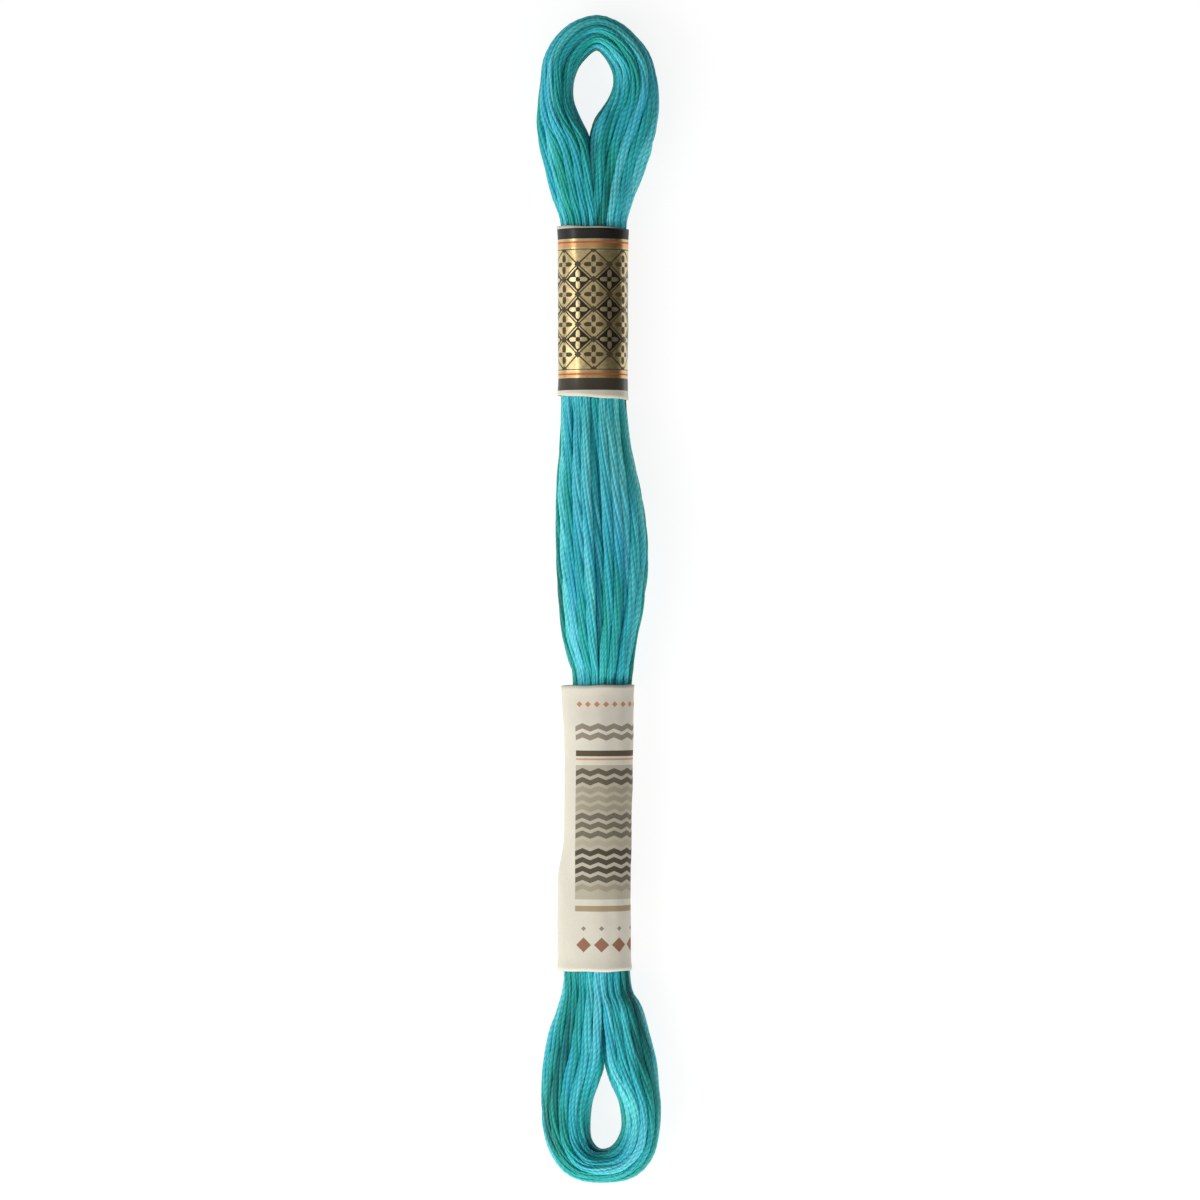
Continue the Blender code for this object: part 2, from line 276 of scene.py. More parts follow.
def settle(turn, start, room, rounds, passes, pull, follow):
    # Every station holds a disc for each thread, placed across the limb and up. The discs push each other
    # apart, stay in the limb's outline, lean on the other limb's discs where both lie together, and run
    # smoothly along the turn. With follow it is their way from the start that is smoothed.
    push = 0.42          # share of an overlap that a step undoes
    narrowest = 0.3      # mm left to the discs' middles on the side of the eye
    start = np.float32(start)
    wide, tall, merged, room = (np.float32(x)[:, None] for x in (
        turn["halfWide"], turn["halfTall"], turn["merged"], room))
    middleX, lean = np.float32(turn["centre"][:, :1]), np.float32(turn["outward"][:, :1])
    centre = -wide * merged
    outerReach = wide * (1 + merged) - room
    innerReach = np.maximum(wide * (1 - merged) - room, narrowest)
    tallReach = tall - room
    power = 2 + 4 * merged      # the side towards the other limb goes from an ellipse to nearly flat
    together = np.flatnonzero(turn["merged"] > 0.05)      # stations beside the other limb
    mate = turn["mate"][together]
    base = start if follow else np.zeros_like(start)
    place = start
    for _ in range(rounds):
        across, up = place[..., 0], place[..., 1]
        offX, offZ = pushApart(across, up, across, up, room)
        worldX = middleX + across * lean
        sideX, sideZ = pushApart(worldX[together], up[together], worldX[mate], up[mate], room[together])
        offX[together] += sideX * lean[together]
        offZ[together] += sideZ
        across = across + push * offX - centre
        up = (up + push * offZ) / tallReach
        outer = np.hypot(across / outerReach, up)
        inner = (np.abs(across / innerReach) ** power + np.abs(up) ** power) ** (1 / power)
        inner = np.where(merged < 0.7, inner, np.abs(up))      # here the other limb's discs hold them back
        beyond = np.maximum(np.where(across > 0, outer, inner), 1)
        place = np.stack([centre + across / beyond, up * tallReach / beyond], -1)
        place = base + smoothRound(place - base, passes)
        place += np.float32(pull) * (start - place)
    return place


def fillOutline(turn, place, room):
    # stretches every station a little, so that the outermost threads lie on the limb's outline
    passes = 12      # so that stations side by side are stretched alike
    wide, tall = turn["halfWide"], turn["halfTall"]
    outer = place[..., 0].max(1) + room
    inner = place[..., 0].min(1) - room
    innerWanted = -wide * (1 - turn["merged"]) + inner * turn["merged"]
    top = place[..., 1].max(1) + room
    bottom = place[..., 1].min(1) - room
    stretchX = smoothRound((wide - innerWanted) / (outer - inner), passes)[:, None]
    stretchZ = smoothRound(2 * tall / (top - bottom), passes)[:, None]
    shiftX = smoothRound(wide - stretchX[:, 0] * outer, passes)[:, None]
    shiftZ = smoothRound(tall - stretchZ[:, 0] * top, passes)[:, None]
    return np.stack([place[..., 0] * stretchX + shiftX, place[..., 1] * stretchZ + shiftZ], -1)


def easeKinks(place):
    # a strand that dives too sharply between others is drawn out along the turn
    passes = 6       # how far to both sides of the kink
    for _ in range(hank["easing"]):
        bend = np.linalg.norm(np.roll(place, -1, 0) - 2 * place + np.roll(place, 1, 0), axis=-1)
        share = smoothRound(np.clip(bend / hank["sharpest"] - 1, 0, 1), passes)
        place = place + np.minimum(3 * share, 1)[..., None] * (smoothRound(place, passes) - place)
    return place


def packStrands(turn):
    # the strands of a limb start on a spiral and settle
    random = np.random.default_rng(hank["seed"])
    number = hank["turns"]
    order = np.arange(number)
    along = np.arange(turn["count"]) / turn["count"]
    wide, tall, merged = (turn[key][:, None] for key in ("halfWide", "halfTall", "merged"))
    reach = np.sqrt((order + 0.5) / number) + hank["driftIn"] * wander(random, along, number, (2, 3, 5))
    reach = np.clip(reach, 0.05, 1.0)
    angle = order * math.pi * (3 - math.sqrt(5)) + random.uniform(0, hank["scatter"], number)
    angle = angle + hank["twist"] * turn["down"][:, None]
    angle += hank["driftRound"] * wander(random, along, number, (2, 3, 4, 6))
    startX = reach * np.cos(angle) * wide * (1 + hank["oval"] * merged)
    start = np.stack([startX, reach * np.sin(angle) * tall], -1)
    room = roomFor(turn, number, hank["fill"])
    place = settle(turn, start, room, hank["rounds"], passes=3, pull=0.01, follow=False)
    return fillOutline(turn, easeKinks(place), room)


floss = {
    "plies": 6,              # stranded cotton is divisible into six
    "pitch": 26.0,           # mm along a strand for one loose turn of its plies
    "spareTurns": 2.0,       # how many more or less of these a strand may have in its way round the hank
    "ring": 0.58,            # how far from the strand's middle the plies start, share of its room
    "strayIn": 0.14,         # how much that changes along them
    "strayRound": 0.35,      # and how far they stray round the strand, radians
    "fill": 0.62,            # share of a limb's section that its plies would fill as round discs
    "rounds": 60,            # steps of their packing
    "pull": 0.12,            # how strongly they keep to their strand
    "shown": 1.18,           # radius of a ply, share of its room: those of a strand are pressed together
    "fattest": 0.30,         # radius of a ply where it lies loose, mm
    "slub": 0.05,            # how much its radius changes along it
    "pieces": 6,             # meshes that share the turns
    "sides": 8,
    "step": 0.95,            # mm between rings of a ply
    "hiddenStep": 3.0,       # the same under the paper
    "tones": (0.04, 0.96),   # of the darkest and the lightest strand: painted shade and painted light
    "unevenToneAndShade": 0.22,          # how much a strand's tone changes along it, partly painted light and shade of its twist
    "plyTone": 0.12,         # how far a ply's tone is off its strand's
    "plyUneven": 0.10,       # and how much that changes along it
    "cast": 0.30,            # how much a strand leans from green to blue and back
    "seed": 21,
    "toneSeed": 24,          # which strands are painted light and which painted dark
}


def threadCentres(turn, places):
    # From places across a limb and up to mm in the frame: (station, thread, xyz). In a band they lie on
    # its paper, and come down to the table over 6 mm beyond it.
    flat = turn["centre"][:, None] + turn["outward"][:, None] * places[..., :1]
    rise = paper["under"] * underPaper(turn["centre"][:, 1], 6.0)[:, None]
    up = places[..., 1] + turn["halfTall"][:, None] - hank["sink"] + rise + hank["sink"] * (rise > 0)
    return np.concatenate([flat, up[..., None]], -1)


def packPlies(turn, strands):
    # the plies start wound loosely round the middle of their strand and settle against all the others
    random = np.random.default_rng(floss["seed"])
    number, plies = hank["turns"], floss["plies"]
    along = np.arange(turn["count"]) / turn["count"]
    run = runRound(threadCentres(turn, strands))
    spare = random.uniform(-floss["spareTurns"], floss["spareTurns"], number)
    twists = np.round(run[-1] / floss["pitch"] + spare)
    angle = math.tau * twists * run[:-1] / run[-1] + random.uniform(0, math.tau, number)
    angle = angle[..., None] + math.tau * np.arange(plies) / plies
    stray = wander(random, along, number * plies, (5, 9, 14, 23)).reshape(angle.shape)
    angle += floss["strayRound"] * stray
    stray = wander(random, along, number * plies, (4, 7, 11, 17)).reshape(angle.shape)
    reach = floss["ring"] + floss["strayIn"] * stray
    reach = reach * roomFor(turn, number, hank["fill"])[:, None, None]
    start = strands[:, :, None] + np.stack([reach * np.cos(angle), reach * np.sin(angle)], -1)
    start = start.reshape(turn["count"], number * plies, 2)
    room = roomFor(turn, number * plies, floss["fill"])
    place = settle(turn, start, room, floss["rounds"], passes=1, pull=floss["pull"], follow=True)
    return fillOutline(turn, place, room), room


def ringPlaces(turn):
    # where along the turn the plies get a ring, as fractional stations: closer where they show, which they
    # also do up to 3 mm into the mouth of a band
    middle = turn["centre"]
    gaps = np.linalg.norm(np.roll(middle, -1, 0) - middle, axis=1)
    hidden = np.prod([underPaper(middle[:, 1] + shift, 0.001) for shift in (-3, 0, 3)], axis=0)
    steps = gaps / np.where(hidden > 0.5, floss["hiddenStep"], floss["step"])
    total = np.concatenate([[0], np.cumsum(steps)])
    wanted = np.arange(round(total[-1])) * total[-1] / round(total[-1])
    return np.interp(wanted, total, np.arange(len(total)))


def tubeMesh(name, centres, radius, lowest, dyeAndShade):
    # closed tubes along the given lines, all arrays in mm as (ring, tube, ...)
    rings, tubes = centres.shape[:2]
    sides = floss["sides"]
    tangents = np.roll(centres, -1, 0) - np.roll(centres, 1, 0)
    across = np.cross(tangents, [0, 0, 1])
    across /= np.linalg.norm(across, axis=-1, keepdims=True)
    upward = np.cross(across, tangents)
    upward /= np.linalg.norm(upward, axis=-1, keepdims=True)
    angle = (np.arange(sides) * math.tau / sides)[:, None]
    circle = np.cos(angle) * across[:, :, None] + np.sin(angle) * upward[:, :, None]
    points = centres[:, :, None] + radius[..., None, None] * circle
    points[..., 2] = np.maximum(points[..., 2], lowest[:, :, None])
    ring, tube, side = np.meshgrid(np.arange(rings), np.arange(tubes), np.arange(sides), indexing="ij")
    corners = [(0, 0), (1, 0), (1, 1), (0, 1)]     # (ring, side) steps of a quad's corners
    quads = [((ring + r) % rings * tubes + tube) * sides + (side + s) % sides for r, s in corners]
    quads = np.stack(quads, -1).reshape(-1, 4)
    mesh = bpy.data.meshes.new(name)
    mesh.from_pydata((points.reshape(-1, 3) * mm).tolist(), [], quads.tolist())
    mesh.shade_smooth()

    # the map "lay": the share of the way round a ply, and mm along it
    run = runRound(centres)
    lay = [np.stack([(side + s) / sides, run[ring + r, tube]], -1) for r, s in corners]
    addMap(mesh, "lay", np.stack(lay, 3))
    # the map that an export bakes: each tube lies in it as three strips, a little apart
    strips, margin, edge = 3, 0.12, 0.002
    strip = ring * strips // rings
    flat = []
    for r, s in corners:
        u = (ring + r) * strips / rings - strip
        v = (tube * strips + strip + margin + (side + s) / sides * (1 - 2 * margin)) / (tubes * strips)
        flat.append(np.stack([edge + (1 - 2 * edge) * u, v], -1))
    addMap(mesh, "OFBake", np.stack(flat, 3))
    for key, values in dyeAndShade.items():
        values = np.repeat(values[:, :, None], sides, 2).astype(np.float32)
        mesh.attributes.new(key, "FLOAT", "POINT").data.foreach_set("value", values.ravel())
    return mesh


def makeFloss(turn, centres, room, material):
    random = np.random.default_rng(floss["toneSeed"])
    at = ringPlaces(turn)
    along = at / turn["count"]
    lines = smoothAt(centres, at, closed=True)
    threads = lines.shape[1]
    radius = np.minimum(smoothAt(room[:, None], at, closed=True) * floss["shown"], floss["fattest"])
    radius = radius * (1 + floss["slub"] * wander(random, along, threads, (13, 22, 37)))
    lowest = paper["under"] * underPaper(lines[..., 1], 4.0)      # no thread cuts into a band's mouth
    # each strand has its own tone, from dark and greenish at 0 to light at 1, and it changes along it:
    # partly random tone, partly painted light and shade of strands lying higher and lower
    strandTones = random.permutation(np.linspace(*floss["tones"], hank["turns"]))
    strandTones = strandTones + floss["unevenToneAndShade"] * wander(random, along, hank["turns"], (3, 5, 8, 12))
    plyTones = random.uniform(-floss["plyTone"], floss["plyTone"], threads)
    tones = np.repeat(strandTones, floss["plies"], axis=1) + plyTones
    tones += floss["plyUneven"] * wander(random, along, threads, (6, 11, 17))
    casts = 0.5 + floss["cast"] * wander(random, along, hank["turns"], (4, 7, 11))
    dyeAndShade = {"tone": tones, "cast": np.repeat(casts, floss["plies"], axis=1)}
    pieces = []
    for number in range(floss["pieces"]):
        own = slice(number * threads // floss["pieces"], (number + 1) * threads // floss["pieces"])
        mesh = tubeMesh(f"floss_turns_{number + 1}", lines[:, own], radius[:, own], lowest[:, own],
                        {key: values[:, own] for key, values in dyeAndShade.items()})
        mesh.materials.append(material)
        pieces.append(addObject(mesh.name, mesh))
    return pieces


def mercerisedCotton():
    # Stranded cotton, mercerised and dyed teal. Its swollen smooth fibres shine softly along each ply, and
    # the two singles of a ply show as a fine slanting ridge, painted darker in its grooves and lighter on
    # its crests. Strands and plies are painted darker and lighter along them: painted light and shade of
    # strands lying higher and lower, besides random tone.
    look = {
        "dyesAndShades": ["#07706E", "#20ABA0", "#37BCCD", "#6BDDE3"],    # from the darkest turns to the lightest: one teal dye under painted shade and painted light
        "casts": ["#F3FFF3", "#F2F1FF"],     # where a turn leans to green, and to blue
        "lay": 0.9,          # mm between ridges of the singles; really 0.5, drawn coarser to show
        "streak": 4.0,       # mm along a ply for each unit of the noise: streaks of 0.1 by 1.5 mm
        "light": (0.86, 1.24),       # times the dyed colour: painted shade in the grooves, a painted highlight on the ridges, and the fibres' streaks
        "relief": 0.05,      # mm, which the shader takes at less than half its strength
        "finish": {"Roughness": 0.45, "Specular IOR Level": 0.32, "Sheen Weight": 0.10,
                   "Sheen Roughness": 0.4, "Sheen Tint": toLinear("#8FE6E4")},
    }
    material, tree, shader = newMaterial("mercerisedCotton", look["finish"])
    tone = addNode(tree, "Attribute", {"attribute_name": "tone"}).node.outputs["Fac"]
    # the ramp paints the teal darker and lighter by tone: painted shade and painted light
    dyedAndShaded = addNode(tree, "ValToRGB", {}, [tone])
    ramp = dyedAndShaded.node.color_ramp.elements
    for place in np.linspace(0, 1, len(look["dyesAndShades"]))[1:-1]:
        ramp.new(place)
    for stop, colour in zip(ramp, look["dyesAndShades"]):
        stop.color = toLinear(colour)
    cast = addNode(tree, "Attribute", {"attribute_name": "cast"}).node.outputs["Fac"]
    cast = addNode(tree, "Mix", {"data_type": "RGBA"}, [cast, *(toLinear(tint) for tint in look["casts"])])
    dyedAndShaded = addNode(tree, "VectorMath", "MULTIPLY", [dyedAndShaded, cast])
    lay = addNode(tree, "SeparateXYZ", {}, [addNode(tree, "UVMap", {"uv_map": "lay"})]).node
    turned = addNode(tree, "Math", "MULTIPLY", [lay.outputs["X"], math.tau])
    fibreX = addNode(tree, "Math", "COSINE", [turned])
    fibreY = addNode(tree, "Math", "SINE", [turned])
    fibreZ = addNode(tree, "Math", "DIVIDE", [lay.outputs["Y"], look["streak"]])
    place = addNode(tree, "CombineXYZ", {}, [fibreX, fibreY, fibreZ])
    grain = {"Scale": 2.6, "Detail": 5.0, "Roughness": 0.6}
    fibres = addNode(tree, "TexNoise", {}, {"Vector": place, **grain})
    # two ridges go round a ply: the phase is twice the way round, and the way along
    twice = addNode(tree, "Math", "MULTIPLY", [turned, 2.0])
    slant = addNode(tree, "Math", "MULTIPLY_ADD", [lay.outputs["Y"], math.tau / look["lay"], twice])
    ridge = addNode(tree, "Math", "COSINE", [slant])
    height = addNode(tree, "Math", "MULTIPLY_ADD", [ridge, 0.5, fibres])
    # the colour is painted darker in the grooves and lighter on the ridges: painted shade and painted
    # highlight, with the fibres' streaks
    streaksAndRidgeShading = addNode(tree, "MapRange", {}, [height, 0.0, 1.1, *look["light"]])
    colour = addNode(tree, "VectorMath", "SCALE", {"Vector": dyedAndShaded, "Scale": streaksAndRidgeShading})
    tree.links.new(colour, shader.inputs["Base Color"])
    bump = addNode(tree, "Bump", {}, {"Strength": 0.45, "Distance": look["relief"] * mm, "Height": height})
    tree.links.new(bump, shader.inputs["Normal"])
    return material


upperBand = {
    "top": 52.40, "bottom": 28.40,       # heights of its cut edges, mm
    "middleX": -0.75,                    # the middle of its front, mm
    "askew": -0.05,                      # slope of its edges, over 12 mm of its front
    "left": [(52.4, -5.60), (40.0, -5.50), (28.4, -5.60)],       # height and X of its left side, mm
}
lowerBand = {
    "top": -12.15, "bottom": -52.40,
    "middleX": -0.40,
    "askew": 0.01,
    "left": [(-12.15, -5.00), (-18.0, -4.50), (-36.5, -4.50),
             (-40.0, -5.50), (-45.0, -5.60), (-52.4, -5.60)],
}
paper = {
    "thickness": 0.12,       # mm, 100 g paper
    "lap": 4.0,              # mm that one end is glued over the other
    "seam": 1.2,             # mm that the lap lies off the middle of the back
    "layer": 0.14,           # mm from one layer to the next where they lap
    "under": 0.30,           # mm of paper and glue under the strands
    "curl": 2.3,             # radius of the paper where it stands out at the left, mm
    "curlHeight": 3.3,       # and the height of that curl's middle
    "loose": (0.5, 0.7),     # how much more of the spare paper stands out on top, and less at the sides
    # soft buckles: waves for each mm round the band and along it, and their height in mm
    "buckles": [(0.35, 0.22, 0.10), (0.9, 0.6, 0.035), (0.55, 0.06, 0.07)],
    "gape": (1.6, 0.10),     # the last mm at a mouth, and how far they stand open there
    # a long and a short wave along the cut edges: height in mm, and radians for each mm
    "wobble": [(0.07, 0.45), (0.04, 1.3)],
    "columnStep": 0.28,      # mm between points round the band
    "rowStep": 0.5,          # mm between points along it
    "directions": 720,       # in which the reach of the strands is measured
    "seed": 5,
}


def underPaper(y, reach):
    # 1 under a band, falling to 0 at reach beyond its edges
    share = np.zeros_like(y)
    for band in (upperBand, lowerBand):
        middle, half = (band["top"] + band["bottom"]) / 2, (band["top"] - band["bottom"]) / 2
        share = np.maximum(share, 1 - fadeBetween(np.abs(y - middle), half, half + reach))
    return share


def hullRound(turn, centres, room, heights, angles):
    # how far the plies of both limbs reach in each direction: (height, angle) in mm
    reach = np.full((len(heights), len(angles)), -np.inf)
    half = turn["count"] // 2
    together = np.flatnonzero(turn["merged"] > 0.8)
    for limb in (together[together < half], together[together > half][::-1]):
        radius = np.interp(-heights, -centres[limb, 0, 1], room[limb]) * floss["shown"]
        for thread in range(centres.shape[1]):
            line = centres[limb, thread]
            x, z = (np.interp(-heights, -line[:, 1], line[:, axis])[:, None] for axis in (0, 2))
            reach = np.maximum(reach, x * np.cos(angles) + z * np.sin(angles) + radius[:, None])
    return reach


def paperReach(size, heights, angles, turn, centres, room):
    # How far the paper reaches in each direction, a row for each height: round the plies, and standing off
    # them at its left. All rows of a sleeve have one girth, so it is loose where the cotton is thin.
    reach = hullRound(turn, centres, room, heights, angles)
    places, edges = np.array(size["left"])[::-1].T
    curl = np.interp(heights, places, edges)[:, None] + paper["curl"]
    reach = np.maximum(reach, curl * np.cos(angles) + paper["curlHeight"] * np.sin(angles) + paper["curl"])
    near = 4         # rows: the paper can't follow a dent that is shorter than twice this
    padded = np.pad(reach, ((near, near), (0, 0)), mode="edge")
    reach = np.max([padded[k:k + len(reach)] for k in range(2 * near + 1)], axis=0)
    reach = smoothRows(reach, 16)      # passes, along the band
    girth = math.tau * reach.mean(1)
    slack = smoothRows((girth.max() - girth)[:, None], 8) / math.tau
    onTop, atSides = paper["loose"]
    reach += slack * (1 + onTop * np.sin(angles) - atSides * np.cos(2 * angles))
    return smoothRound(reach.T, 150).T      # and round it, since paper is stiff


def wrapPaper(size, heights, angles, reach):
    # the strip's points, its columns' places across the front and lift off the strands, and its girth
    girth = math.tau * reach.mean()
    slope = (np.roll(reach, -1, 1) - np.roll(reach, 1, 1)) / (2 * (angles[1] - angles[0]))
    x = reach * np.cos(angles) - slope * np.sin(angles)
    z = reach * np.sin(angles) + slope * np.cos(angles)
    lap, layer = paper["lap"], paper["layer"]
    columns = round((girth + lap) / paper["columnStep"])
    s = np.linspace(0, girth + lap, columns + 1)
    front = girth / 2 + paper["seam"]      # from the lapped end to the middle of the front
    # the inner end lies close to the strands; past the lap the paper steps out, and again to come over it
    lift = layer * (0.2 + fadeBetween(s, lap * 0.9, lap * 1.6))
    lift += layer * 0.3 * fadeBetween(s, girth - 1.5, girth)
    points = np.zeros((len(heights), len(s), 3))
    points[..., 1] = heights[:, None]
    onTop = (angles > 0) & (angles < math.pi)
    for row in range(len(heights)):
        curve = np.stack([x[row], z[row], angles], 1)
        curve = np.concatenate([curve - [0, 0, math.tau], curve, curve + [0, 0, math.tau]])
        run = np.concatenate([[0], np.cumsum(np.linalg.norm(np.diff(curve[:, :2], axis=0), axis=1))])
        middle = np.interp(-size["middleX"], -x[row][onTop], run[len(angles):2 * len(angles)][onTop])
        around = middle + (s - front) / girth * run[-1] / 3
        px, pz, turned = (np.interp(around, run, curve[:, k]) for k in range(3))
        points[row, :, 0] = px + lift * np.cos(turned)
        points[row, :, 2] = pz + lift * np.sin(turned)
    return points, front - s, lift, girth


def handle(size, points, across, lift, random):
    # The cut edges are not quite straight, and the paper is softly buckled by the strands and by handling,
    # but stiff where it is glued. It rests on the table, the inner layer of the lap on the outer one.
    length, lap = size["top"] - size["bottom"], paper["lap"]
    s = across[0] - across
    loose = fadeBetween(s, lap, 1.8 * lap) * fadeBetween(s[-1] - s, lap, 1.8 * lap)
    v = size["top"] - points[:, 0, 1]
    draws = random.uniform(-1, 1, 3)
    (long, longWave), (short, shortWave) = paper["wobble"]
    wobble = long * draws[0] * np.sin(across * longWave + draws[1])
    wobble = wobble + short * np.sin(across * shortWave + 3 * draws[2])
    points[..., 1] += wobble * (1 - 2 * v[:, None] / length) + size["askew"] * np.clip(across, -6, 6)
    outwards = np.gradient(points, axis=1)[..., [2, 1, 0]] * [1, 0, -1]
    outwards /= np.linalg.norm(outwards, axis=-1, keepdims=True)
    waves = list(zip(paper["buckles"], draws * 9))
    buckle = np.array([[sum(noise.noise(Vector((u * fast, w * slow, far))) * height
                            for (fast, slow, height), far in waves) for u in across] for w in v])
    mouth, gape = paper["gape"]
    gape = gape * (1 - fadeBetween(np.minimum(v, length - v), 0, mouth))[:, None]
    points += (buckle * loose + gape)[..., None] * outwards
    lowest = 0.6 * paper["thickness"] + np.minimum(lift.max() - lift, paper["layer"])
    points[..., 2] = np.maximum(points[..., 2], lowest)


def makeBand(name, size, turn, centres, room, printed, inside):
    # a strip of paper round the strands, glued where its ends lap underneath
    random = np.random.default_rng(paper["seed"])
    length = size["top"] - size["bottom"]
    heights = np.linspace(size["top"], size["bottom"], round(length / paper["rowStep"]) + 1)
    angles = np.linspace(-math.pi / 2, 1.5 * math.pi, paper["directions"] + 1)[:-1]
    reach = paperReach(size, heights, angles, turn, centres, room)
    points, across, lift, girth = wrapPaper(size, heights, angles, reach)
    handle(size, points, across, lift, random)

    rows, columns = points.shape[:2]
    number = np.arange(rows * columns).reshape(rows, columns)
    quads = np.stack([number[:-1, :-1], number[:-1, 1:], number[1:, 1:], number[1:, :-1]], -1)
    quads = quads.reshape(-1, 4)
    mesh = bpy.data.meshes.new(name)
    mesh.from_pydata((points.reshape(-1, 3) * mm).tolist(), [], quads.tolist())
    flat = np.stack([np.broadcast_to(across, (rows, columns)), size["top"] - points[..., 1]], -1)
    flat = flat.reshape(-1, 2)
    addMap(mesh, "print", flat[quads.ravel()])
    mesh.materials.append(printed)
    mesh.materials.append(inside)
    band = addObject(name, mesh)
    wall = band.modifiers.new("paper", "SOLIDIFY")
    wall.thickness = paper["thickness"] * mm
    wall.offset = 0
    wall.material_offset = 1
    wall.material_offset_rim = 1
    solid = bpy.data.meshes.new_from_object(band.evaluated_get(bpy.context.evaluated_depsgraph_get()))
    band.modifiers.clear()
    band.data = solid
    solid.name = name
    solid.shade_smooth()
    layFlat(solid, flat)
    return band, (girth + paper["lap"], length)


def layFlat(mesh, flat):
    # the map that an export bakes: the printed face above, the paper's inside and edges below it
    low, high = flat.min(0), flat.max(0)
    uv = np.zeros(len(mesh.loops) * 2, np.float32)
    mesh.uv_layers["print"].data.foreach_get("uv", uv)
    uv = (uv.reshape(-1, 2) - low) / (high - low)
    face = np.zeros(len(mesh.polygons), np.int32)
    mesh.polygons.foreach_get("material_index", face)
    inner = np.repeat(face, 4) > 0
    edge, below, above = 0.004, (0.01, 0.28), (0.32, 0.67)      # starts and widths, shares of the map
    uv[:, 0] = edge + (1 - 2 * edge) * uv[:, 0]
    uv[:, 1] = np.where(inner, below[0] + below[1] * uv[:, 1], above[0] + above[1] * uv[:, 1])
    addMap(mesh, "OFBake", uv)


def trellisOfFlowers(tree, look, u, v):
    # the inks of the gold label's field, each with the mask of where it lies
    top, bottom = look["field"]
    tall = (bottom - top) / look["rows"]
    across = addNode(tree, "Math", "DIVIDE", [u, look["across"]])
    fromMiddle = addNode(tree, "Math", "SUBTRACT", [v, (top + bottom) / 2])
    down = addNode(tree, "Math", "DIVIDE", [fromMiddle, tall])
    cells, slants = [], []
    for sign in ("ADD", "SUBTRACT"):
        slanted = addNode(tree, "Math", sign, [across, down])
        cells.append(addNode(tree, "Math", "FLOOR", [slanted]))
        share = addNode(tree, "Math", "FRACT", [slanted])
        slants.append(addNode(tree, "Math", "SUBTRACT", [share, 0.5]))
    rowNumber = addNode(tree, "Math", "SUBTRACT", cells)
    rowNumber = addNode(tree, "Math", "ABSOLUTE", [rowNumber])
    sides = [addNode(tree, "Math", "ABSOLUTE", [slant]) for slant in slants]
    # a lozenge is 0 in its middle and 0.5 along its sides
    outermost = addNode(tree, "Math", "MAXIMUM", sides)
    innermost = addNode(tree, "Math", "MINIMUM", sides)
    trellis = addNode(tree, "Math", "GREATER_THAN", [outermost, 0.5 - look["line"]])
    knots = addNode(tree, "Math", "GREATER_THAN", [innermost, 0.5 - look["knot"]])
    ground = addNode(tree, "Math", "LESS_THAN", [outermost, 0.5 - look["frame"]])
    # a flower of four petals in each lozenge, in mm from its middle
    offMiddle = []
    for sign, half in (("ADD", look["across"] / 2), ("SUBTRACT", tall / 2)):
        slanted = addNode(tree, "Math", sign, slants)
        offMiddle.append(addNode(tree, "Math", "MULTIPLY", [slanted, half]))
    place = addNode(tree, "CombineXYZ", {}, offMiddle)
    far = addNode(tree, "VectorMath", "LENGTH", [place])
    turned = addNode(tree, "Math", "ARCTAN2", offMiddle[::-1])
    turned = addNode(tree, "Math", "MULTIPLY", [turned, 4.0])
    petals = addNode(tree, "Math", "COSINE", [turned])
    notch, petal = look["notch"], look["petal"]
    petals = addNode(tree, "Math", "MULTIPLY_ADD", [petals, notch * petal, (1 - notch) * petal])
    flower = addNode(tree, "Math", "LESS_THAN", [far, petals])
    eye = addNode(tree, "Math", "GREATER_THAN", [far, look["eye"]])
    flower = addNode(tree, "Math", "MULTIPLY", [flower, eye])
    inField = addNode(tree, "Math", "COMPARE", [v, (top + bottom) / 2, (bottom - top) / 2])
    whole = addNode(tree, "Math", "LESS_THAN", [rowNumber, look["rows"] - 0.5])
    # every second row of lozenges is gold on black, the others brown on gold
    onGold = addNode(tree, "Math", "MODULO", [rowNumber, 2.0])
    onBlack = addNode(tree, "Math", "SUBTRACT", [1.0, onGold])
    bare = addNode(tree, "Math", "SUBTRACT", [1.0, flower])
    masks = [("brown", [trellis, inField]), ("brown", [knots, inField]), ("brown", [flower, onGold, whole]),
             ("black", [ground, bare, onBlack, whole])]
    inks = []
    for ink, parts in masks:
        mask = parts[0]
        for part in parts[1:]:
            mask = addNode(tree, "Math", "MULTIPLY", [mask, part])
        inks.append((ink, mask))
    return inks


